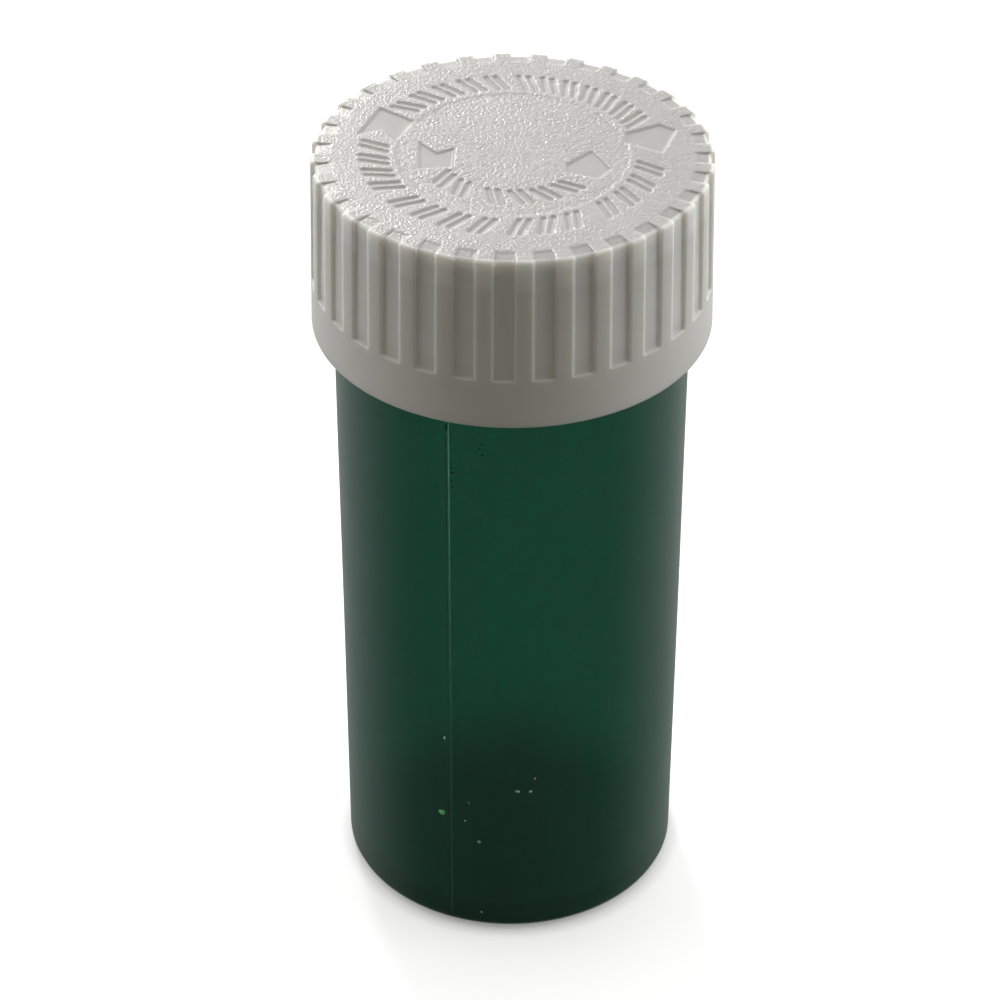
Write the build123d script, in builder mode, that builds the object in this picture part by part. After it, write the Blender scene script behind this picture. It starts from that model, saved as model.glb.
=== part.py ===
from build123d import *
import os

# Prescription vial with a push-down-and-turn child-resistant closure, in millimetres.
# +Z is up, the origin is the centre of the standing face, and the closure opens
# counter-clockwise seen from above. Five mouldings share the vial's axis:
#   vial         injection-moulded container with a two-start thread on its neck
#   seal_liner   resilient disc that seals against the rim of the neck
#   inner_cap    threaded cap, hidden inside, with drive lugs on its roof
#   spring_disc  finger spring that keeps the two caps apart
#   outer_cap    ribbed overcap that turns free until it is pushed down

# Driving dimensions
TOTAL_HEIGHT = 84.0
CAP_HEIGHT = 18.2
CAP_RADIUS = 19.6            # at the cap's lower edge
CAP_DRAFT = 0.0196           # radius lost for each millimetre of height
VIAL_RADIUS = 17.13          # just above the heel
VIAL_DRAFT = 0.0046          # radius gained for each millimetre of height
BORE_RADIUS = 15.35          # at the floor of the vial
BORE_DRAFT = 0.002
LEAD = 8.0                   # rise of the closure in one full turn
THREAD_STARTS = 2
RIB_COUNT = 32
LUG_COUNT = 12
PUSH_TRAVEL = 1.0            # how far the outer cap goes down to engage the lugs
RUNNING_GAP = 0.25           # radial gap between mouldings that turn on each other

# Heights, from the top down
CAP_BOTTOM = TOTAL_HEIGHT - CAP_HEIGHT
ROOF_UNDERSIDE = TOTAL_HEIGHT - 1.2
LUG_CLEARANCE = 0.3          # between the two rings of lugs while the cap turns free
OUTER_LUG_HEIGHT = 1.3
INNER_LUG_HEIGHT = 0.9
OUTER_LUG_BOTTOM = ROOF_UNDERSIDE - OUTER_LUG_HEIGHT
INNER_ROOF_TOP = OUTER_LUG_BOTTOM - LUG_CLEARANCE - INNER_LUG_HEIGHT
INNER_ROOF_UNDERSIDE = INNER_ROOF_TOP - 0.8
LINER_THICKNESS = 0.9
RIM_HEIGHT = INNER_ROOF_UNDERSIDE - LINER_THICKNESS
SHOULDER_HEIGHT = CAP_BOTTOM + 1.1
INNER_CAP_BOTTOM = CAP_BOTTOM + 1.7
BAND_TOP = CAP_BOTTOM + 5.2  # the plain band below the ribs

# Radii, from the outside in
SKIRT_BORE = 18.3            # inside of the outer cap's skirt
INNER_CAP_RADIUS = SKIRT_BORE - RUNNING_GAP
INNER_CAP_BORE = INNER_CAP_RADIUS - 0.8
NECK_CREST = INNER_CAP_BORE - RUNNING_GAP
THREAD_DEPTH = 0.75
NECK_RADIUS = NECK_CREST - THREAD_DEPTH
INNER_CREST = INNER_CAP_BORE - THREAD_DEPTH
BEAD_BORE = INNER_CAP_RADIUS - 0.2

# Thread form
THREAD_ROOT_WIDTH = 1.5
THREAD_CREST_WIDTH = 0.7
THREAD_ROOT_BURIED = 0.3     # how far a thread's root reaches into its wall
NECK_THREAD_START = SHOULDER_HEIGHT + 1.6
NECK_THREAD_RISE = 8.0
INNER_THREAD_START = INNER_CAP_BOTTOM + 1.3
INNER_THREAD_RISE = 4.8
INNER_THREAD_DROP = 1.35     # the cap's thread hangs below the neck's thread
INNER_THREAD_TURN = 360 / LEAD * (INNER_THREAD_START + INNER_THREAD_DROP - NECK_THREAD_START)

# Vial base
FLOOR_TOP = 2.2
BASE_RECESS = 0.8
RECESS_RADIUS = 13.4
HEEL_ROUNDING = 1.3

# Outer cap surface
GROOVE_DEPTH = 0.5
GROOVE_WIDTH = 1.95
GROOVE_PHASE = 9.075         # angle of the first groove from +X
NOTCH_DEPTH = 0.4
NOTCH_INNER_RADIUS = 17.3
DISH_RADIUS = 11.1
DISH_DEPTH = 0.12

# Drive lugs
LUG_RING_RADIUS = 14.5
LUG_LENGTH = 4.0
LUG_WIDTH = 2.8
LUG_TAPER = 12
LUG_PITCH = 360 / LUG_COUNT

# Finger spring
SPRING_OUTER_RADIUS = 11.0
SPRING_INNER_RADIUS = 8.0
SPRING_BASE = 0.7
FINGER_COUNT = 6
FINGER_WIDTH = 1.9
FINGER_THICKNESS = 0.45
FINGER_REACH = 3.2           # each way from the finger's middle
FINGER_PAD = 0.8             # flat end that bears on the roof
FINGER_ROOT = INNER_ROOF_TOP + SPRING_BASE / 2


def cap_radius(z):
    """Outside radius of the outer cap at a height."""
    return CAP_RADIUS - CAP_DRAFT * (z - CAP_BOTTOM)


def vial_radius(z):
    """Outside radius of the vial's body at a height."""
    return VIAL_RADIUS + VIAL_DRAFT * z


def bore_radius(z):
    """Inside radius of the vial at a height."""
    return BORE_RADIUS + BORE_DRAFT * z


os.makedirs("parts", exist_ok=True)

# Threads: one turn of each, on the radius of the wall that carries it
with BuildPart() as neck_thread:
    with BuildLine() as neck_path:
        Helix(LEAD, NECK_THREAD_RISE, NECK_RADIUS, center=(0, 0, NECK_THREAD_START))
    with BuildSketch(Plane(neck_path.line @ 0, x_dir=(1, 0, 0), z_dir=neck_path.line % 0)):
        with BuildLine():
            Polyline(
                (-THREAD_ROOT_BURIED, -THREAD_ROOT_WIDTH / 2),
                (0, -THREAD_ROOT_WIDTH / 2),
                (THREAD_DEPTH, -THREAD_CREST_WIDTH / 2),
                (THREAD_DEPTH, THREAD_CREST_WIDTH / 2),
                (0, THREAD_ROOT_WIDTH / 2),
                (-THREAD_ROOT_BURIED, THREAD_ROOT_WIDTH / 2),
                close=True,
            )
        make_face()
    sweep(path=neck_path.line, is_frenet=True)

with BuildPart() as inner_thread:
    with BuildLine() as inner_path:
        Helix(LEAD, INNER_THREAD_RISE, INNER_CAP_BORE, center=(0, 0, INNER_THREAD_START))
    with BuildSketch(Plane(inner_path.line @ 0, x_dir=(1, 0, 0), z_dir=inner_path.line % 0)):
        with BuildLine():
            Polyline(
                (THREAD_ROOT_BURIED, -THREAD_ROOT_WIDTH / 2),
                (0, -THREAD_ROOT_WIDTH / 2),
                (-THREAD_DEPTH, -THREAD_CREST_WIDTH / 2),
                (-THREAD_DEPTH, THREAD_CREST_WIDTH / 2),
                (0, THREAD_ROOT_WIDTH / 2),
                (THREAD_ROOT_BURIED, THREAD_ROOT_WIDTH / 2),
                close=True,
            )
        make_face()
    sweep(path=inner_path.line, is_frenet=True)

# Vial: a straight-pulled bore, a heel, a base raised inside a standing ring, and the neck
with BuildPart() as vial:
    with BuildSketch(Plane.XZ):
        with BuildLine():
            FilletPolyline(
                (0, BASE_RECESS),
                (RECESS_RADIUS - BASE_RECESS, BASE_RECESS),
                (RECESS_RADIUS, 0),
                (vial_radius(0), 0),
                (vial_radius(SHOULDER_HEIGHT), SHOULDER_HEIGHT),
                (NECK_RADIUS, SHOULDER_HEIGHT),
                (NECK_RADIUS, RIM_HEIGHT),
                (bore_radius(RIM_HEIGHT), RIM_HEIGHT),
                (bore_radius(FLOOR_TOP), FLOOR_TOP),
                (0, FLOOR_TOP),
                radius=[0, 0.4, 0.3, HEEL_ROUNDING, 0.4, 0.2, 0.2, 0.2, 1.0, 0],
                close=True,
            )
        make_face()
    revolve(axis=Axis.Z)
    with PolarLocations(0, THREAD_STARTS):
        add(neck_thread.part)

# Seal liner: a plain disc on the rim of the neck
with BuildPart() as seal_liner:
    with BuildSketch(Plane.XY.offset(RIM_HEIGHT)):
        Circle(NECK_CREST - 0.1)
    extrude(amount=LINER_THICKNESS)
    chamfer(seal_liner.edges().group_by(Axis.Z)[-1], 0.15)

# Inner cap: a threaded skirt under a flat roof, with a ring of drive lugs on top
with BuildPart() as inner_cap:
    with BuildSketch(Plane.XZ):
        with BuildLine():
            FilletPolyline(
                (0, INNER_ROOF_UNDERSIDE),
                (INNER_CAP_BORE, INNER_ROOF_UNDERSIDE),
                (INNER_CAP_BORE, INNER_CAP_BOTTOM),
                (INNER_CAP_RADIUS, INNER_CAP_BOTTOM),
                (INNER_CAP_RADIUS, INNER_ROOF_TOP),
                (0, INNER_ROOF_TOP),
                radius=[0, 0.2, 0.15, 0.15, 0.6, 0],
                close=True,
            )
        make_face()
    revolve(axis=Axis.Z)
    with BuildSketch(Plane.XY.offset(INNER_ROOF_TOP)):
        with PolarLocations(LUG_RING_RADIUS, LUG_COUNT):
            Rectangle(LUG_LENGTH, LUG_WIDTH)
    extrude(amount=INNER_LUG_HEIGHT, taper=LUG_TAPER)
    with PolarLocations(0, THREAD_STARTS, start_angle=INNER_THREAD_TURN):
        add(inner_thread.part)

# Spring disc: a ring with leaf fingers that rise to the outer cap's roof
with BuildPart() as finger:
    with BuildSketch(Plane.YZ.offset((SPRING_OUTER_RADIUS + SPRING_INNER_RADIUS) / 2)):
        with BuildLine():
            Polyline(
                (-FINGER_REACH, FINGER_ROOT),
                (FINGER_REACH - FINGER_PAD, ROOF_UNDERSIDE),
                (FINGER_REACH, ROOF_UNDERSIDE),
                (FINGER_REACH, ROOF_UNDERSIDE - FINGER_THICKNESS),
                (FINGER_REACH - FINGER_PAD, ROOF_UNDERSIDE - FINGER_THICKNESS),
                (-FINGER_REACH + 2 * FINGER_PAD, FINGER_ROOT),
                close=True,
            )
        make_face()
    extrude(amount=FINGER_WIDTH / 2, both=True)

with BuildPart() as spring_disc:
    with BuildSketch(Plane.XY.offset(INNER_ROOF_TOP)):
        Circle(SPRING_OUTER_RADIUS)
        Circle(SPRING_INNER_RADIUS, mode=Mode.SUBTRACT)
    extrude(amount=SPRING_BASE)
    with PolarLocations(0, FINGER_COUNT):
        add(finger.part)

# Outer cap: drafted skirt with a plain band, ribs, a retaining bead and its own lugs
with BuildPart() as outer_cap:
    with BuildSketch(Plane.XZ):
        with BuildLine():
            FilletPolyline(
                (0, ROOF_UNDERSIDE),
                (SKIRT_BORE, ROOF_UNDERSIDE),
                (SKIRT_BORE, INNER_CAP_BOTTOM - 0.1),
                (BEAD_BORE, INNER_CAP_BOTTOM - 0.4),
                (BEAD_BORE, INNER_CAP_BOTTOM - 0.8),
                (SKIRT_BORE, CAP_BOTTOM + 0.4),
                (SKIRT_BORE, CAP_BOTTOM),
                (cap_radius(CAP_BOTTOM), CAP_BOTTOM),
                (cap_radius(TOTAL_HEIGHT), TOTAL_HEIGHT),
                (DISH_RADIUS, TOTAL_HEIGHT),
                (DISH_RADIUS, TOTAL_HEIGHT - DISH_DEPTH),
                (0, TOTAL_HEIGHT - DISH_DEPTH),
                radius=[0, 0.4, 0, 0.15, 0.15, 0, 0.1, 0.25, 0.35, 0.05, 0.05, 0],
                close=True,
            )
        make_face()
    revolve(axis=Axis.Z)
    with BuildSketch(Plane.XY.offset(BAND_TOP)):
        with PolarLocations(cap_radius(BAND_TOP), RIB_COUNT, start_angle=GROOVE_PHASE):
            Rectangle(2 * GROOVE_DEPTH, GROOVE_WIDTH)
    extrude(amount=TOTAL_HEIGHT - BAND_TOP, mode=Mode.SUBTRACT)
    with BuildSketch(Plane.XY.offset(TOTAL_HEIGHT - NOTCH_DEPTH)):
        with PolarLocations(NOTCH_INNER_RADIUS, RIB_COUNT, start_angle=GROOVE_PHASE):
            Rectangle(CAP_RADIUS - NOTCH_INNER_RADIUS, GROOVE_WIDTH, align=(Align.MIN, Align.CENTER))
    extrude(amount=NOTCH_DEPTH, mode=Mode.SUBTRACT)
    with BuildSketch(Plane.XY.offset(ROOF_UNDERSIDE)):
        with PolarLocations(LUG_RING_RADIUS, LUG_COUNT, start_angle=LUG_PITCH / 2):
            Rectangle(LUG_LENGTH, LUG_WIDTH)
    extrude(amount=-OUTER_LUG_HEIGHT, taper=LUG_TAPER)

vial.part.label = "vial"
seal_liner.part.label = "seal_liner"
inner_cap.part.label = "inner_cap"
spring_disc.part.label = "spring_disc"
outer_cap.part.label = "outer_cap"
for piece in (vial, seal_liner, inner_cap, spring_disc, outer_cap):
    export_step(piece.part, f"parts/{piece.part.label}.step")
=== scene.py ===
import bmesh
import bpy
import numpy as np
from math import cos, degrees, pi, radians, sin, tan
from mathutils import Matrix, Vector


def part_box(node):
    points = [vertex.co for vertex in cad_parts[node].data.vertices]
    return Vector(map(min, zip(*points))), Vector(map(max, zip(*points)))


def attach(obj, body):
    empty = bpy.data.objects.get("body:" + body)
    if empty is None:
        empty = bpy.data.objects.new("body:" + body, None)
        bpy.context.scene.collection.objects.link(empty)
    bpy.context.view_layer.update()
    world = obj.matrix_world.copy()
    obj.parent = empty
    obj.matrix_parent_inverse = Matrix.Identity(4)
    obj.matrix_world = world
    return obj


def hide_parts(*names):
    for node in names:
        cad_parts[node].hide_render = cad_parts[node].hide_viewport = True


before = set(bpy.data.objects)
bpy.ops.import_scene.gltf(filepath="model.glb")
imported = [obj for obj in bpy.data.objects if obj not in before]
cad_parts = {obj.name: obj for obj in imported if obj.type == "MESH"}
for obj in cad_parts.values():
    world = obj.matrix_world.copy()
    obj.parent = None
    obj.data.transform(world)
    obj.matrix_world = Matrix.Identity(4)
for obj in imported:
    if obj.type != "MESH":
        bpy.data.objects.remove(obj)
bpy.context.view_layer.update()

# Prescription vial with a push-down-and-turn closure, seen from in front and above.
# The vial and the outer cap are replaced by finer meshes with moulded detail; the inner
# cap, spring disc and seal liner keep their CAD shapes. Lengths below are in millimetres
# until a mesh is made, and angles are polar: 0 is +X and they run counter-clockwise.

MM = 0.001
FULL_TURN = 2 * pi
FRONT = -90.0                # polar angle of the side that faces the camera

# Sizes read from the bounds of the CAD parts
vial_box = [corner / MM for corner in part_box("vial")]
cap_box = [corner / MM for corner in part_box("outer_cap")]
TOP = cap_box[1].z
CAP_BOTTOM = cap_box[0].z
RIM = vial_box[1].z

# Outer cap
CAP_RADIUS = 19.59           # at the lower edge
CAP_DRAFT = 0.0196           # radius lost for each millimetre of height
SKIRT_BORE = 18.3
BEAD_BORE = 17.85
ROOF = 1.2                   # thickness of the roof
BAND_TOP = CAP_BOTTOM + 5.2
RIBS = 32
GROOVE_PHASE = 9.075
GROOVE_SHARE = 0.525         # of the pitch
GROOVE_FLANK = 0.034         # of the pitch, each side
GROOVE_DEPTH = 0.37
GROOVE_TAPER = 0.10          # lost between the top and the foot of a groove
GROOVE_FOOT = 0.08           # extra depth of the fine line at a groove's foot
NOTCH_DEPTH = 0.18
NOTCH_STEP = 0.06            # depth at the inner end of each notch
NOTCH_RADIUS = 17.3          # of the notches' inner ends
NOTCH_POLISH = 0.25
EDGE_ROUNDING = 0.3
DISH_RADIUS = 11.1
DISH_DEPTH = 0.035
DISH_BLEND = 0.12            # half the width of the dish's edge
DISH_RAG = 0.15
DISH_RAG_CELL = 0.7
FINE_GRAIN, FINE_CELL = 0.022, 0.32        # depth and spacing of the pits outside the dish
COARSE_GRAIN, COARSE_CELL = 0.05, 0.42     # and inside it
MARK_DEPTH = 0.14
MARK_WALL = 0.16             # half the width of a mark's sloping wall
LUGS = 12
LUG_HEIGHT = 1.3
LUG_HALF_WIDTH = 1.4
LUG_INNER_RADIUS = 12.5
LUG_OUTER_RADIUS = 16.5
LUG_WALL = 0.25              # width of a lug's sloping wall

# Vial
VIAL_RADIUS = 17.13
VIAL_DRAFT = 0.0046
BORE_RADIUS = 15.35
BORE_DRAFT = 0.002
FLOOR_TOP = 2.2
BASE_RECESS = 0.8
RECESS_RADIUS = 13.4
HEEL_ROUNDING = 1.3
SHOULDER = CAP_BOTTOM + 1.1
NECK_RADIUS = 16.25
THREAD_DEPTH = 0.75
THREAD_STARTS = 2
THREAD_START = SHOULDER + 1.6
LEAD = 8.0
SEAM_ANGLE = FRONT - 20.0    # the mould's parting line
SEAM_WIDTH = 0.13            # of its raised edge, near the cap
SEAM_PROUD = 0.05
SKIN_WAVES = [(0.012, 3, 0.08), (0.008, 5, -0.15)]   # depth, waves round the vial, lean


def cap_radius(z):
    return CAP_RADIUS - CAP_DRAFT * (z - CAP_BOTTOM)


def vial_radius(z):
    return VIAL_RADIUS + VIAL_DRAFT * z


def bore_radius(z):
    return BORE_RADIUS + BORE_DRAFT * z


# ---------------------------------------------------------------- camera

CAMERA_DISTANCE = 307.4      # in front of the vial's axis
CAMERA_HEIGHT = 269.7
CAMERA_PITCH = 36.40         # degrees below the horizon
CAMERA_YAW = 0.21
CAMERA_ROLL = 0.15
CAMERA_LENS = 135.7          # on a 36 mm sensor


def make_camera():
    data = bpy.data.cameras.new("camera")
    data.lens = CAMERA_LENS
    data.sensor_width = 36.0
    data.clip_start = 0.01
    data.clip_end = 20.0
    camera = bpy.data.objects.new("camera", data)
    camera.location = (0, -CAMERA_DISTANCE * MM, CAMERA_HEIGHT * MM)
    turn = Matrix.Rotation(radians(CAMERA_YAW), 4, "Z")
    pitch = Matrix.Rotation(radians(90 - CAMERA_PITCH), 4, "X")
    roll = Matrix.Rotation(radians(CAMERA_ROLL), 4, "Z")
    camera.rotation_euler = (turn @ pitch @ roll).to_euler()
    bpy.context.collection.objects.link(camera)
    bpy.context.scene.camera = camera


make_camera()

# ---------------------------------------------------------------- mesh tools


def smooth(x, low, high):
    """0 below low, 1 above high and a smooth step between."""
    t = np.clip((x - low) / (high - low), 0.0, 1.0)
    return t * t * (3 - 2 * t)


def trace(corners, step):
    """Points along an outline of (radius, height, rounding[, step]) corners, spaced by step or
    by the step that a corner gives for the line that leaves it."""
    points = [Vector(corner[:2]) for corner in corners]
    path = []
    for i, corner in enumerate(corners):
        here = points[i]
        spacing = corner[3] if len(corner) > 3 else step
        if corner[2] and 0 < i < len(corners) - 1:
            back = (points[i - 1] - here).normalized()
            ahead = (points[i + 1] - here).normalized()
            half = back.angle(ahead) / 2
            reach = corner[2] / tan(half)
            centre = here + (back + ahead).normalized() * corner[2] / sin(half)
            start, end = here + back * reach, here + ahead * reach
            arc_steps = max(3, int(degrees(pi - 2 * half) / 15))
            for k in range(arc_steps + 1):
                chord = start.lerp(end, k / arc_steps) - centre
                path.append(centre + chord.normalized() * corner[2])
            leave = end
        else:
            path.append(here)
            leave = here
        if i < len(corners) - 1:
            following = corners[i + 1]
            arrive = points[i + 1]
            if following[2] and i + 1 < len(corners) - 1:
                back = (here - arrive).normalized()
                ahead = (points[i + 2] - arrive).normalized()
                arrive = arrive + back * following[2] / tan(back.angle(ahead) / 2)
            count = int(np.ceil((arrive - leave).length / spacing - 1e-6))
            path += [leave.lerp(arrive, k / count) for k in range(1, count)]
    return np.array([(p.x, p.y) for p in path])


def grid(path, angles):
    """Radius, height and angle arrays of a path swept round the axis, one row for each point."""
    radius = np.repeat(path[:, 0:1], len(angles), axis=1)
    height = np.repeat(path[:, 1:2], len(angles), axis=1)
    angle = np.repeat(angles[None, :], len(path), axis=0)
    return radius, height, angle


def turned_mesh(name, radius, height, angle):
    """A closed mesh from rows of rings whose first and last rows are the poles on the axis."""
    rows, columns = radius.shape
    rings = np.stack([radius * np.cos(angle), radius * np.sin(angle), height], axis=-1)[1:-1]
    poles = np.array([[0, 0, height[0, 0]], [0, 0, height[-1, 0]]])
    points = np.concatenate([rings.reshape(-1, 3), poles]) * MM
    column = np.arange(columns)
    after = (column + 1) % columns
    base = (np.arange(rows - 3) * columns)[:, None]
    quads = np.stack([base + column, base + after, base + columns + after, base + columns + column], axis=-1)
    first_pole, last_pole = len(points) - 2, len(points) - 1
    last_ring = (rows - 3) * columns
    start_fan = [(first_pole, int(b), int(a)) for a, b in zip(column, after)]
    end_fan = [(last_pole, int(last_ring + a), int(last_ring + b)) for a, b in zip(column, after)]
    mesh = bpy.data.meshes.new(name)
    mesh.from_pydata(points.tolist(), [], quads.reshape(-1, 4).tolist() + start_fan + end_fan)
    mesh.polygons.foreach_set("use_smooth", [True] * len(mesh.polygons))
    mesh.update()
    piece = bpy.data.objects.new(name, mesh)
    bpy.context.collection.objects.link(piece)
    return piece


def value_noise(x, y, cell, seed):
    """Smooth random values from -1 to 1 over a plane, one random value for each cell corner."""
    size = 256
    table = np.random.default_rng(seed).uniform(-1, 1, (size, size))
    u, v = x / cell, y / cell
    i, j = np.floor(u).astype(int), np.floor(v).astype(int)
    s, t = smooth(u - i, 0, 1), smooth(v - j, 0, 1)
    low = table[i % size, j % size] * (1 - s) + table[(i + 1) % size, j % size] * s
    high = table[i % size, (j + 1) % size] * (1 - s) + table[(i + 1) % size, (j + 1) % size] * s
    return low * (1 - t) + high * t


def pits(x, y, cell, seed):
    """Round pits of random place, size and depth (0 to 1), about one for each cell of a plane."""
    size = 256
    table = np.random.default_rng(seed).uniform(0, 1, (4, size, size))
    i, j = np.floor(x / cell).astype(int), np.floor(y / cell).astype(int)
    depth = np.zeros_like(x)
    for across in (-1, 0, 1):
        for up in (-1, 0, 1):
            place_x, place_y, width, strength = table[:, (i + across) % size, (j + up) % size]
            away = np.hypot(x - (i + across + place_x) * cell, y - (j + up + place_y) * cell)
            inside = np.clip(1 - (away / (cell * (0.3 + 0.35 * width))) ** 2, 0, 1)
            depth = np.maximum(depth, inside ** 2 * strength)
    return depth


def polygon_distance(x, y, corners):
    """Signed distance to a polygon of polar corners (radius, angle in degrees), negative inside."""
    points = [(r * cos(radians(a)), r * sin(radians(a))) for r, a in corners]
    nearest = np.full(x.shape, 1e9)
    inside = np.zeros(x.shape, dtype=bool)
    for (ax, ay), (bx, by) in zip(points, points[1:] + points[:1]):
        ex, ey = bx - ax, by - ay
        t = np.clip(((x - ax) * ex + (y - ay) * ey) / (ex * ex + ey * ey), 0, 1)
        nearest = np.minimum(nearest, np.hypot(x - ax - t * ex, y - ay - t * ey))
        crosses = ((ay > y) != (by > y)) & (x < ex * (y - ay) / (ey if ey else 1e-9) + ax)
        inside ^= crosses
    return np.where(inside, -nearest, nearest)


def stroke_distance(x, y, start, end, half_width):
    """Signed distance to a round-ended stroke between two points."""
    ex, ey = end[0] - start[0], end[1] - start[1]
    t = np.clip(((x - start[0]) * ex + (y - start[1]) * ey) / (ex * ex + ey * ey), 0, 1)
    return np.hypot(x - start[0] - t * ex, y - start[1] - t * ey) - half_width


def add_value(piece, name, values):
    """A named number for each point of a turned mesh, for its material."""
    attribute = piece.data.attributes.new(name, "FLOAT", "POINT")
    rows = values[1:-1].reshape(-1)
    poles = [values[0, 0], values[-1, 0]]
    attribute.data.foreach_set("value", np.concatenate([rows, poles]).astype(np.float32))


# ---------------------------------------------------------------- outer cap

# Debossed arrows on the roof, as polar corners (radius, angle)
ARROWS = {
    "close_tail": [(15.3, 147.0), (11.2, 148.4), (11.4, 169.4), (13.2, 161.1), (15.2, 167.0)],
    "close_head": [(11.4, 19.1), (15.1, 21.2), (16.2, 15.6), (14.2, 0.8), (11.0, 11.3)],
    "open_tail": [(9.2, 166.9), (7.2, 180.0), (5.6, 169.9), (6.1, 202.3), (9.3, 197.5)],
    "open_head": [(7.5, 4.2), (9.6, -16.6), (9.25, -28.3), (6.1, -33.4), (5.4, -21.8)],
}
# Rings of plain double strokes, as (middle radius, height, first angle, last angle, count, slant)
MARK_RUNS = [
    (13.2, 2.9, 140.0, 97.0, 5, 1),
    (13.2, 2.9, 84.0, 28.0, 7, 1),
    (13.2, 2.9, 175.0, 207.0, 4, -1),
    (13.2, 2.9, 222.0, 258.0, 4, -1),
    (13.2, 2.9, 273.0, 295.0, 3, -1),
    (13.2, 2.9, 312.0, 348.0, 4, -1),
    (7.9, 2.7, 216.0, 233.0, 2, 1),
    (7.9, 2.7, 258.0, 311.0, 4, 1),
]
STROKE_HALF_WIDTH = 0.27
STROKE_GAP = 0.95
STROKE_SLANT = 0.45


def deboss_distance(x, y):
    """Signed distance to the nearest debossed arrow or mark on the roof."""
    nearest = np.full(x.shape, 1e9)
    for corners in ARROWS.values():
        nearest = np.minimum(nearest, polygon_distance(x, y, corners))
    for middle, height, first, last, count, slant in MARK_RUNS:
        for k in range(count):
            turn = radians(first + (last - first) * k / (count - 1))
            along = -x * sin(turn) + y * cos(turn)
            outward = x * cos(turn) + y * sin(turn) - middle
            half = height / 2 - STROKE_HALF_WIDTH
            for side in (-0.5, 0.5):
                low = (side * STROKE_GAP - slant * STROKE_SLANT, -half)
                high = (side * STROKE_GAP + slant * STROKE_SLANT, half)
                nearest = np.minimum(nearest, stroke_distance(along, outward, low, high, STROKE_HALF_WIDTH))
    return nearest


def rib_angles():
    """Angles round the cap, close together on the flanks of each groove."""
    floor = GROOVE_SHARE - GROOVE_FLANK
    wall = GROOVE_SHARE + GROOVE_FLANK
    spans = [(-floor / 2, floor / 2, 9), (floor / 2, wall / 2, 4), (wall / 2, 1 - wall / 2, 7),
             (1 - wall / 2, 1 - floor / 2, 4)]
    shares = np.concatenate([np.linspace(low, high, count, endpoint=False) for low, high, count in spans])
    pitches = np.arange(RIBS)[:, None] + shares[None, :]
    return radians(GROOVE_PHASE) + pitches.reshape(-1) * FULL_TURN / RIBS


def groove_share(angle):
    """1 on the floor of a groove, 0 on a rib."""
    pitches = (angle - radians(GROOVE_PHASE)) * RIBS / FULL_TURN
    offset = np.abs(pitches - np.round(pitches))
    return 1 - smooth(offset, (GROOVE_SHARE - GROOVE_FLANK) / 2, (GROOVE_SHARE + GROOVE_FLANK) / 2)


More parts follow.
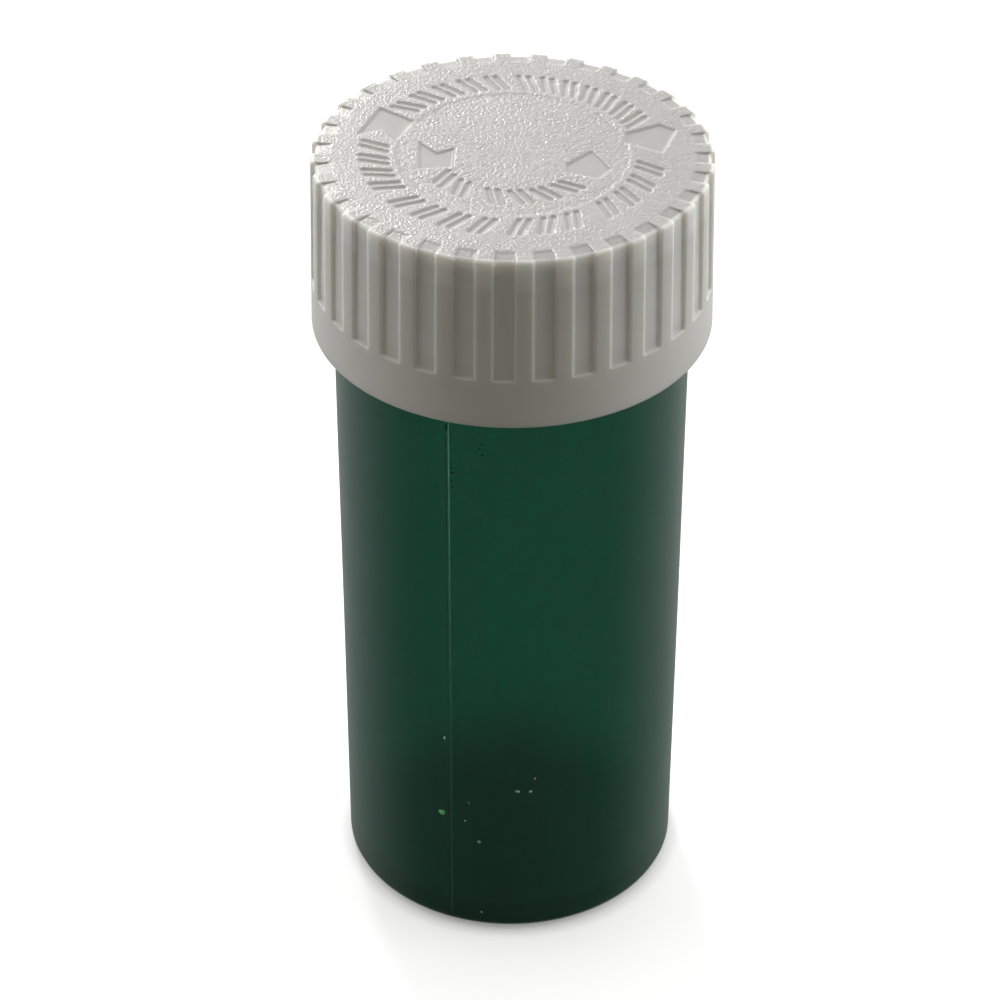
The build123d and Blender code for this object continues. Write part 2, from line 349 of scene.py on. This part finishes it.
def make_outer_cap():
    edge = cap_radius(TOP)
    path = trace([
        (0, TOP - ROOF, 0, 1.5),
        (11.9, TOP - ROOF, 0, 0.25),
        (17.1, TOP - ROOF, 0, 1.0),
        (SKIRT_BORE, TOP - ROOF, 0.4, 2.5),
        (SKIRT_BORE, CAP_BOTTOM + 1.6, 0, 0.5),
        (BEAD_BORE, CAP_BOTTOM + 1.3, 0.15, 0.5),
        (BEAD_BORE, CAP_BOTTOM + 0.9, 0.15, 0.5),
        (SKIRT_BORE, CAP_BOTTOM + 0.4, 0, 0.5),
        (SKIRT_BORE, CAP_BOTTOM, 0.1, 0.5),
        (CAP_RADIUS, CAP_BOTTOM, 0.15, 1.3),
        (cap_radius(BAND_TOP - 0.15), BAND_TOP - 0.15, 0, 0.08),
        (cap_radius(BAND_TOP + 0.25), BAND_TOP + 0.25, 0, 1.6),
        (edge, TOP, EDGE_ROUNDING, 0.2),
        (16.6, TOP, 0, 0.13),
        (5.2, TOP, 0, 0.22),
        (0, TOP, 0),
    ], step=0.5)
    radius, height, angle = grid(path, rib_angles())
    groove = groove_share(angle)
    from_edge = edge - radius
    x, y = radius * np.cos(angle), radius * np.sin(angle)

    row = np.arange(len(path))[:, None]
    lowest_outside = np.argmax((path[:, 0] > SKIRT_BORE + 0.7) & (path[:, 1] < CAP_BOTTOM + 1))
    outside = row >= lowest_outside
    roof_top = outside & (path[:, 1:2] > TOP - 1.2 * EDGE_ROUNDING) & (path[:, 0:1] < edge)
    polish = np.zeros_like(radius)

    # Grooves between the ribs, with a notch in the roof's edge at the top of each
    climb = np.clip((height - BAND_TOP) / (TOP - BAND_TOP), 0, 1)
    foot = GROOVE_FOOT * np.exp(-((height - BAND_TOP - 0.15) / 0.12) ** 2)
    taper = GROOVE_DEPTH - GROOVE_TAPER * (1 - climb) + foot
    wall_depth = taper * groove * smooth(height, BAND_TOP - 0.05, BAND_TOP + 0.08)
    inward = np.clip((radius - NOTCH_RADIUS) / (edge - NOTCH_RADIUS), 0, 1)
    notch_slope = NOTCH_STEP * smooth(radius, NOTCH_RADIUS, NOTCH_RADIUS + 0.3)
    notch_slope = notch_slope + (NOTCH_DEPTH - NOTCH_STEP) * inward
    notch_depth = groove * np.where(roof_top, notch_slope, NOTCH_DEPTH * climb)
    radius = np.where(outside, radius - wall_depth * inward, radius)
    height = np.where(outside, height - notch_depth, height)
    in_notch = groove * smooth(inward, 0.0, 0.15) * smooth(from_edge, 0.2, 0.55)
    polish = np.where(outside & roof_top, NOTCH_POLISH * in_notch, polish)

    # Arrows and marks, with a smooth floor
    deboss = np.where(roof_top, deboss_distance(x, y), 1e9)
    in_mark = 1 - smooth(deboss, -MARK_WALL, MARK_WALL)
    height = height - MARK_DEPTH * in_mark
    polish = np.maximum(polish, 1 - smooth(deboss, 0.02, MARK_WALL))

    # A shallow dish with a slightly ragged edge, and spark-eroded grain, coarser inside the dish
    ragged = np.hypot(x, y) + DISH_RAG * value_noise(x, y, DISH_RAG_CELL, 8)
    inside_dish = 1 - smooth(ragged, DISH_RADIUS - DISH_BLEND, DISH_RADIUS + DISH_BLEND)
    height = height - np.where(roof_top, DISH_DEPTH * inside_dish, 0)
    grain = FINE_GRAIN * pits(x, y, FINE_CELL, 3) * (1 - inside_dish)
    grain += COARSE_GRAIN * pits(x, y, COARSE_CELL, 5) * inside_dish
    height = height - np.where(roof_top, grain * (1 - polish), 0)

    # Drive lugs under the roof, half a pitch round from the inner cap's
    under = row < len(trace([(0, 0, 0, 1.5), (11.9, 0, 0, 0.25), (17.1, 0, 0)], 1)) + 1
    lug_turn = angle * LUGS / FULL_TURN - 0.5
    lug_offset = np.abs(lug_turn - np.round(lug_turn)) * FULL_TURN / LUGS * radius
    across = 1 - smooth(lug_offset, LUG_HALF_WIDTH - LUG_WALL, LUG_HALF_WIDTH)
    along = smooth(radius, LUG_INNER_RADIUS, LUG_INNER_RADIUS + LUG_WALL)
    along = along * (1 - smooth(radius, LUG_OUTER_RADIUS - LUG_WALL, LUG_OUTER_RADIUS))
    height = np.where(under, height - LUG_HEIGHT * across * along, height)

    piece = turned_mesh("outer_cap_moulding", radius, height, angle)
    add_value(piece, "polish", polish)
    add_value(piece, "roof", roof_top * smooth(from_edge, 0.1, 0.45))
    # Painted glow: grooves on the skirt and marks on the roof are marked to be made lighter, lifting the
    # shade that falls in them
    painted_groove_glow = groove * smooth(climb, 0.0, 0.02)
    add_value(piece, "painted_glow_mask", np.where(roof_top, in_mark, np.where(outside, painted_groove_glow, 0)))
    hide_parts("outer_cap")
    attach(piece, "outer_cap")
    return piece


# ---------------------------------------------------------------- vial

def seam_angles():
    """Angles round the vial, close together at the parting line."""
    seam = radians(SEAM_ANGLE)
    near = np.linspace(-0.03, 0.03, 41)
    rest = np.linspace(near[-1], FULL_TURN - near[-1], 330)[1:-1]
    return seam + np.concatenate([near, rest])


def make_vial():
    path = trace([
        (0, BASE_RECESS, 0, 2.0),
        (RECESS_RADIUS - BASE_RECESS, BASE_RECESS, 0.4, 0.4),
        (RECESS_RADIUS, 0, 0.3, 1.0),
        (vial_radius(0), 0, HEEL_ROUNDING, 1.6),
        (vial_radius(SHOULDER), SHOULDER, 0.4, 0.4),
        (NECK_RADIUS, SHOULDER, 0.2, 0.15),
        (NECK_RADIUS, RIM, 0.2, 0.3),
        (bore_radius(RIM), RIM, 0.2, 1.6),
        (bore_radius(FLOOR_TOP), FLOOR_TOP, 1.0, 1.2),
        (0, FLOOR_TOP, 0),
    ], step=1.0)
    radius, height, angle = grid(path, seam_angles())

    # Threads: two starts of one turn each, fading in and out
    on_neck = (np.abs(path[:, 0] - NECK_RADIUS) < 0.01) & (path[:, 1] > SHOULDER + 0.3)
    for start in range(THREAD_STARTS):
        turn = (angle - start * FULL_TURN / THREAD_STARTS) % FULL_TURN
        offset = np.abs(height - THREAD_START - LEAD * turn / FULL_TURN)
        crest = 1 - np.clip((offset - 0.33) / 0.42, 0, 1)
        fade = smooth(turn, 0.0, 0.2) * (1 - smooth(turn, FULL_TURN - 0.2, FULL_TURN))
        radius = radius + np.where(on_neck[:, None], THREAD_DEPTH * crest * fade, 0)

    # A low swell and a shallow dip beside the parting line, and a slight waviness all round
    outside = (path[:, 0] > 16.9) & (path[:, 1] < SHOULDER - 0.4) & (path[:, 1] > 1.2)
    from_seam = (angle - radians(SEAM_ANGLE)) * VIAL_RADIUS
    bead = 0.03 * np.exp(-(from_seam / 0.12) ** 2) - 0.05 * np.exp(-((from_seam + 0.22) / 0.09) ** 2)
    wave = sum(depth * np.sin(count * angle + lean * height) for depth, count, lean in SKIN_WAVES)
    radius = radius + np.where(outside[:, None], bead + wave - 0.02, 0)

    piece = turned_mesh("vial_moulding", radius, height, angle)
    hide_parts("vial")
    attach(piece, "vial")
    return piece


def make_parting_line():
    """The mould's fine raised edge up the vial's side, thinner towards the base."""
    heights = np.linspace(HEEL_ROUNDING + 0.3, SHOULDER - 0.8, 90)
    section = [(-0.5, -1.0), (-0.4, 0.3), (0.0, 1.0), (0.4, 0.3), (0.5, -1.0)]
    wander = np.random.default_rng(4).uniform(0.7, 1.15, len(heights))
    points = []
    for z, uneven in zip(heights, wander):
        share = 0.35 + 0.65 * float(smooth(z, 15.0, 58.0))
        for across, outward in section:
            turn = radians(SEAM_ANGLE) + across * SEAM_WIDTH * share / VIAL_RADIUS
            radius = vial_radius(z) - 0.02 + outward * SEAM_PROUD * share * uneven
            points.append((radius * cos(turn) * MM, radius * sin(turn) * MM, z * MM))
    count = len(section)
    faces = [tuple(reversed(range(count))), tuple(range(len(points) - count, len(points)))]
    for row in range(len(heights) - 1):
        for k in range(count):
            after = (k + 1) % count
            low = row * count
            faces.append((low + k, low + after, low + count + after, low + count + k))
    mesh = bpy.data.meshes.new("parting_line")
    mesh.from_pydata(points, [], faces)
    tidy = bmesh.new()
    tidy.from_mesh(mesh)
    bmesh.ops.recalc_face_normals(tidy, faces=tidy.faces)
    tidy.to_mesh(mesh)
    tidy.free()
    piece = bpy.data.objects.new("parting_line", mesh)
    bpy.context.collection.objects.link(piece)
    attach(piece, "vial")
    return piece


# Small flaws at the vial's outer skin, as (polar angle, height, width, length)
# The bubbles are real flaws, but their colours are painted light: the clear one's bright green is a painted
# glint of light focused through it
FLAWS = {
    "clear_bubble_painted_glow": [(-113.6, 14.9, 0.85, 0.8)],
    # real bubbles whose pale colour is a painted refraction highlight
    "pale_bubbles_painted_highlights": [
        (-112.5, 24.95, 0.3, 0.5), (-105.3, 14.5, 0.3, 0.28), (-100.4, 11.9, 0.42, 0.48),
        (-99.6, 2.2, 0.26, 0.26), (-87.3, 19.0, 0.56, 0.34), (-83.0, 18.9, 0.42, 0.34),
        (-104.0, 17.0, 0.14, 0.36), (-81.5, 20.6, 0.22, 0.3),
    ],
    "carbon_specks": [
        (-109.0, 58.4, 0.4, 0.24), (-109.3, 58.9, 0.22, 0.2), (-109.1, 57.4, 0.18, 0.2),
        (-109.0, 56.7, 0.2, 0.18), (-100.0, 61.7, 0.2, 0.18), (-99.1, 61.0, 0.22, 0.2),
        (-99.4, 62.2, 0.24, 0.14), (-110.9, 63.6, 0.14, 0.9),
    ],
}
DUST_COUNT = 60
DUST_SIZES = (0.08, 0.18)
FLAW_THICKNESS = 0.12


def make_flaws(name, spots, dark, light, roughness):
    """Small uneven blobs half sunk in the vial's outer skin."""
    scatter = np.random.default_rng(len(spots))
    shape = bmesh.new()
    for turn, z, width, length in spots:
        made = bmesh.ops.create_icosphere(shape, subdivisions=2, radius=0.5)["verts"]
        along = Matrix.Rotation(radians(turn), 4, "Z") @ Matrix.Translation((vial_radius(z) - 0.02, 0, z))
        for vertex in made:
            lump = scatter.uniform(0.75, 1.1)
            x, y, up = vertex.co
            vertex.co = along @ Vector((x * FLAW_THICKNESS, y * width * lump, up * length * lump)) * MM
    mesh = bpy.data.meshes.new(name)
    shape.to_mesh(mesh)
    shape.free()
    mesh.polygons.foreach_set("use_smooth", [True] * len(mesh.polygons))
    mesh.materials.append(plain_plastic(name + "_plastic", dark, light, roughness, roughness + 0.15))
    piece = bpy.data.objects.new(name, mesh)
    bpy.context.collection.objects.link(piece)
    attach(piece, "vial")


def dust():
    """Places of fine dust specks all round the vial."""
    scatter = np.random.default_rng(11)
    places = []
    for _ in range(DUST_COUNT):
        turn, z = scatter.uniform(0, 360), scatter.uniform(3, SHOULDER - 3)
        places.append((turn, z, *scatter.uniform(*DUST_SIZES, 2)))
    return places


# ---------------------------------------------------------------- materials

class Nodes:
    """A material's node tree, with short ways to add and join nodes."""

    def __init__(self, name):
        self.material = bpy.data.materials.new(name)
        self.material.use_nodes = True
        self.tree = self.material.node_tree
        self.tree.nodes.clear()
        self.output = self.add("ShaderNodeOutputMaterial")
        self.shader = self.add("ShaderNodeBsdfPrincipled")
        self.join(self.shader.outputs[0], self.output.inputs["Surface"])
        self.place = self.add("ShaderNodeTexCoord").outputs["Object"]

    def add(self, kind, **settings):
        node = self.tree.nodes.new(kind)
        for key, value in settings.items():
            setattr(node, key, value)
        return node

    def join(self, output, socket):
        self.tree.links.new(output, socket)

    def set(self, **values):
        for key, value in values.items():
            self.shader.inputs[key.replace("_", " ")].default_value = value

    def noise(self, scale, detail=3.0, roughness=0.5):
        node = self.add("ShaderNodeTexNoise")
        node.inputs["Scale"].default_value = scale
        node.inputs["Detail"].default_value = detail
        node.inputs["Roughness"].default_value = roughness
        self.join(self.place, node.inputs["Vector"])
        return node.outputs["Fac"]

    def cells(self, scale):
        node = self.add("ShaderNodeTexVoronoi")
        node.inputs["Scale"].default_value = scale
        self.join(self.place, node.inputs["Vector"])
        return node.outputs["Distance"]

    def ramp(self, value, low, high, start=0.3, end=0.7):
        """Numbers or colours from low to high as value goes from start to end."""
        node = self.add("ShaderNodeValToRGB")
        for element, place, shade in zip(node.color_ramp.elements, (start, end), (low, high)):
            element.position = place
            element.color = (shade, shade, shade, 1) if isinstance(shade, float) else (*shade, 1)
        self.join(value, node.inputs["Fac"])
        return node.outputs["Color"]

    def math(self, operation, a, b):
        node = self.add("ShaderNodeMath", operation=operation)
        for socket, value in zip(node.inputs, (a, b)):
            if isinstance(value, (int, float)):
                socket.default_value = value
            else:
                self.join(value, socket)
        return node.outputs[0]

    def height(self):
        node = self.add("ShaderNodeSeparateXYZ")
        self.join(self.place, node.inputs[0])
        return node.outputs["Z"]

    def length(self, vector):
        node = self.add("ShaderNodeVectorMath", operation="LENGTH")
        self.join(vector, node.inputs[0])
        return node.outputs["Value"]

    def span(self, value, start, end):
        """A number that goes through the pair end as value goes through the pair start."""
        node = self.add("ShaderNodeMapRange")
        for socket, number in zip(list(node.inputs)[1:5], (*start, *end)):
            socket.default_value = number
        self.join(value, node.inputs["Value"])
        return node.outputs[0]

    def attribute(self, name):
        return self.add("ShaderNodeAttribute", attribute_name=name).outputs["Fac"]

    def bump(self, height, strength, distance):
        node = self.add("ShaderNodeBump")
        if isinstance(strength, float):
            node.inputs["Strength"].default_value = strength
        else:
            self.join(strength, node.inputs["Strength"])
        node.inputs["Distance"].default_value = distance
        self.join(height, node.inputs["Height"])
        self.join(node.outputs[0], self.shader.inputs["Normal"])


# How light the milky plastic is, from 0 to 1
SKIRT_TONE = 0.55
CLOUD_TONE = 0.3             # share of the cloudy noise
# painted glow: the plastic is made lighter towards the skirt's top edge, standing in for light that enters
# there
PAINTED_SKIRT_GLOW = 0.7              # added up to the skirt's top edge, where light enters
PAINTED_SKIRT_GLOW_HEIGHTS = ((TOP - 3.5) * MM, (TOP - 0.3) * MM)
# painted shade: the roof is made darker than the skirt, offsetting the overhead light that falls most on it
PAINTED_ROOF_SHADE = 0.64
POLISH_SHADE = 0.24          # on smooth floors, which scatter less than the grain
# painted glow: grooves and marks are made lighter, lifting the shade that falls in them
PAINTED_RECESS_GLOW = 0.2              # in grooves and marks, where the wall is thinner


def milky_plastic():
    """Outer cap: translucent milky white, grained roof, polished marks, fine scuffs on the ribs, with
    painted shade on the roof and painted glow at the skirt's top edge, in the grooves and in the marks.
    """
    nodes = Nodes("milky_polypropylene")
    nodes.set(IOR=1.49, Subsurface_Weight=1.0, Subsurface_Radius=(1.0, 0.92, 0.8), Subsurface_Scale=0.0012)
    roof = nodes.attribute("roof")
    polish = nodes.attribute("polish")
    cloud = nodes.math("MULTIPLY", nodes.noise(110.0, 4.0), CLOUD_TONE)
    # Painted glow towards the skirt's top edge, kept off the roof
    glow = nodes.span(nodes.height(), PAINTED_SKIRT_GLOW_HEIGHTS, (0.0, PAINTED_SKIRT_GLOW))
    skirt = nodes.math("ADD", nodes.math("MULTIPLY", glow, nodes.math("SUBTRACT", 1.0, roof)), SKIRT_TONE)
    # Painted shade: the roof, the face that takes the most light, is darkened in colour
    tone = nodes.math("SUBTRACT", nodes.math("ADD", skirt, cloud), nodes.math("MULTIPLY", roof, PAINTED_ROOF_SHADE))
    tone = nodes.math("SUBTRACT", tone, nodes.math("MULTIPLY", polish, POLISH_SHADE))
    # Painted glow in the grooves and marks, lifting their shade
    tone = nodes.math("ADD", tone, nodes.math("MULTIPLY", nodes.attribute("painted_glow_mask"), PAINTED_RECESS_GLOW))
    nodes.join(nodes.ramp(tone, (0.47, 0.47, 0.455), (0.90, 0.895, 0.86), 0.0, 1.0),
               nodes.shader.inputs["Base Color"])
    grained = nodes.math("MULTIPLY", roof, nodes.math("SUBTRACT", 1.0, polish))
    scuffs = nodes.ramp(nodes.noise(600.0, 5.0, 0.65), 0.36, 0.52)
    rough = nodes.math("SUBTRACT", scuffs, nodes.math("MULTIPLY", grained, 0.16))
    nodes.join(rough, nodes.shader.inputs["Roughness"])
    grain = nodes.math("ADD", nodes.noise(4200.0, 2.0, 0.6), nodes.cells(3400.0))
    strength = nodes.math("ADD", 0.04, nodes.math("MULTIPLY", grained, 0.4))
    nodes.bump(grain, strength, 0.00007)
    return nodes.material


def green_plastic():
    """Vial: clear deep green with faint flow marks."""
    nodes = Nodes("green_polypropylene")
    nodes.set(IOR=1.49, Transmission_Weight=0.91)
    flow = nodes.noise(90.0, 4.0)
    nodes.join(nodes.ramp(flow, (0.08, 0.585, 0.30), (0.10, 0.62, 0.325)), nodes.shader.inputs["Base Color"])
    nodes.join(nodes.ramp(nodes.noise(160.0, 3.0, 0.5), 0.28, 0.31), nodes.shader.inputs["Roughness"])
    nodes.bump(nodes.noise(2600.0, 2.0), 0.05, 0.00003)
    absorb = nodes.add("ShaderNodeVolumeAbsorption")
    absorb.inputs["Color"].default_value = (0.12, 0.58, 0.703, 1)
    absorb.inputs["Density"].default_value = 1290.0
    nodes.join(absorb.outputs[0], nodes.output.inputs["Volume"])
    return nodes.material


def seam_plastic():
    """The parting line: paler and less clear than the wall, more so towards the cap."""
    nodes = Nodes("seam_polypropylene")
    nodes.set(IOR=1.49, Transmission_Weight=0.3)
    climb = nodes.span(nodes.height(), (0.02, 0.055), (0.0, 0.5))
    shade = nodes.math("ADD", climb, nodes.math("MULTIPLY", nodes.noise(500.0, 3.0), 0.6))
    nodes.join(nodes.ramp(shade, (0.03, 0.24, 0.13), (0.3, 1.0, 0.62), 0.2, 0.85),
               nodes.shader.inputs["Base Color"])
    nodes.join(nodes.ramp(nodes.noise(900.0, 3.0), 0.5, 0.65), nodes.shader.inputs["Roughness"])
    nodes.bump(nodes.noise(3000.0, 2.0), 0.1, 0.00003)
    return nodes.material


def plain_plastic(name, dark, light, rough_low, rough_high):
    """Hidden mouldings: white plastic with cloudy colour, uneven gloss and a fine skin."""
    nodes = Nodes(name)
    nodes.set(IOR=1.49, Subsurface_Weight=0.3, Subsurface_Radius=(1.0, 0.95, 0.85), Subsurface_Scale=0.002)
    nodes.join(nodes.ramp(nodes.noise(150.0, 4.0), dark, light), nodes.shader.inputs["Base Color"])
    nodes.join(nodes.ramp(nodes.noise(500.0, 4.0, 0.6), rough_low, rough_high),
               nodes.shader.inputs["Roughness"])
    nodes.bump(nodes.noise(1500.0, 3.0), 0.1, 0.00005)
    return nodes.material


def dress(piece, material):
    piece.data.materials.clear()
    piece.data.materials.append(material)


dress(make_outer_cap(), milky_plastic())
dress(make_vial(), green_plastic())
dress(make_parting_line(), seam_plastic())
# Real bubble; its bright green is a painted glint of focused light
make_flaws("clear_bubble_painted_glow", FLAWS["clear_bubble_painted_glow"], (0.02, 0.9, 0.15), (0.4, 1.0, 0.5), 0.1)
# Real bubbles; their pale colour is a painted refraction highlight
make_flaws("pale_bubbles_painted_highlights", FLAWS["pale_bubbles_painted_highlights"], (0.3, 0.85, 0.55), (0.75, 1.0, 0.88), 0.15)
make_flaws("carbon_specks", FLAWS["carbon_specks"], (0.002, 0.012, 0.009), (0.004, 0.02, 0.014), 0.5)
make_flaws("dust", dust(), (0.12, 0.3, 0.25), (0.25, 0.45, 0.4), 0.5)
hidden = {
    "inner_cap": plain_plastic("inner_polypropylene", (0.70, 0.70, 0.68), (0.78, 0.78, 0.76), 0.35, 0.5),
    "spring_disc": plain_plastic("spring_acetal", (0.78, 0.78, 0.75), (0.85, 0.85, 0.83), 0.25, 0.4),
    "seal_liner": plain_plastic("liner_foam", (0.74, 0.74, 0.71), (0.84, 0.84, 0.81), 0.6, 0.8),
}
for node, material in hidden.items():
    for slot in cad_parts[node].material_slots:
        slot.material = material

# ---------------------------------------------------------------- studio

# Colour of the surround, from the front (0) past the sides (0.5) to the back (1)
SURROUND = [(0.38, (0.18, 0.17, 0.147)), (0.62, (1.02, 1.02, 1.01)), (0.85, (1.3, 1.3, 1.29))]
# Brightness of the surround, from straight below (0) past the horizon (0.5) to overhead (1)
LEVELS = [(0.16, 0.22), (0.22, 0.37), (0.33, 0.37), (0.54, 1.7), (0.85, 0.9)]
LIGHT_AIM = Vector((0, 0, 0.05))         # in metres, like every place and size of a light
FLOOR_HALF = 3.0             # half the floor's side, in metres
# painted light and shadow: the floor glows to white round the vial, washing out its shadows, and the glow
# fades out under the vial as a painted contact shadow
FLOOR_GLOW = 0.5             # lifts the floor to white, except under the vial
PAINTED_SHADOW_RADII = (0.015, 0.0185)


def area_light(name, place, size, power, colour):
    data = bpy.data.lights.new(name, "AREA")
    data.shape = "RECTANGLE"
    data.size, data.size_y = size
    data.energy = power
    data.color = colour
    lamp = bpy.data.objects.new(name, data)
    lamp.location = place
    lamp.rotation_euler = (LIGHT_AIM - Vector(place)).to_track_quat("-Z", "Y").to_euler()
    bpy.context.collection.objects.link(lamp)


def make_floor():
    mesh = bpy.data.meshes.new("floor")
    corners = [(x * FLOOR_HALF, y * FLOOR_HALF, 0) for x, y in ((-1, -1), (1, -1), (1, 1), (-1, 1))]
    mesh.from_pydata(corners, [], [(0, 1, 2, 3)])
    floor = bpy.data.objects.new("floor", mesh)
    bpy.context.collection.objects.link(floor)
    nodes = Nodes("floor_paper")
    nodes.set(Roughness=0.9, Specular_IOR_Level=0.0, Emission_Color=(1, 1, 1, 1))
    # Painted light and shadow: glow lifts the floor to white, fading to none under the vial as a painted
    # contact shadow
    nodes.join(nodes.span(nodes.length(nodes.place), PAINTED_SHADOW_RADII, (0.0, FLOOR_GLOW)),
               nodes.shader.inputs["Emission Strength"])
    nodes.join(nodes.ramp(nodes.noise(40.0), 0.89, 0.91), nodes.shader.inputs["Base Color"])
    mesh.materials.append(nodes.material)
    floor.visible_glossy = False
    floor.visible_diffuse = False
    floor.visible_shadow = False


def axis_ramp(tree, coordinate, stops):
    """Colours through the (place, colour) stops as a coordinate goes from -1 (0) to 1 (1)."""
    share = tree.nodes.new("ShaderNodeMapRange")
    share.inputs["From Min"].default_value = -1.0
    ramp = tree.nodes.new("ShaderNodeValToRGB")
    for _ in stops[2:]:
        ramp.color_ramp.elements.new(0.5)
    for element, (place, shade) in zip(ramp.color_ramp.elements, stops):
        element.position = place
        element.color = (*shade, 1)
    tree.links.new(coordinate, share.inputs["Value"])
    tree.links.new(share.outputs[0], ramp.inputs["Fac"])
    return ramp.outputs["Color"]


def make_world():
    """Soft surround: bright beside and behind, dim and warm in front, dimmer below."""
    world = bpy.data.worlds.new("studio")
    bpy.context.scene.world = world
    world.use_nodes = True
    tree = world.node_tree
    background = tree.nodes["Background"]
    place = tree.nodes.new("ShaderNodeTexCoord")
    split = tree.nodes.new("ShaderNodeSeparateXYZ")
    tree.links.new(place.outputs["Generated"], split.inputs[0])
    levels = [(height, (level, level, level)) for height, level in LEVELS]
    tree.links.new(axis_ramp(tree, split.outputs["Y"], SURROUND), background.inputs["Color"])
    tree.links.new(axis_ramp(tree, split.outputs["Z"], levels), background.inputs["Strength"])


make_floor()
make_world()
area_light("back_window", (-0.24, 0.97, 0.65), (0.17, 0.14), 3.4, (1.0, 0.96, 0.92))
area_light("right_fill", (0.9, 0.0, 0.3), (0.6, 0.6), 2.4, (1, 1, 1))
area_light("left_fill", (-0.9, 0.05, 0.3), (0.6, 0.6), 1.0, (1, 1, 1))
bpy.context.scene.view_settings.view_transform = "Standard"
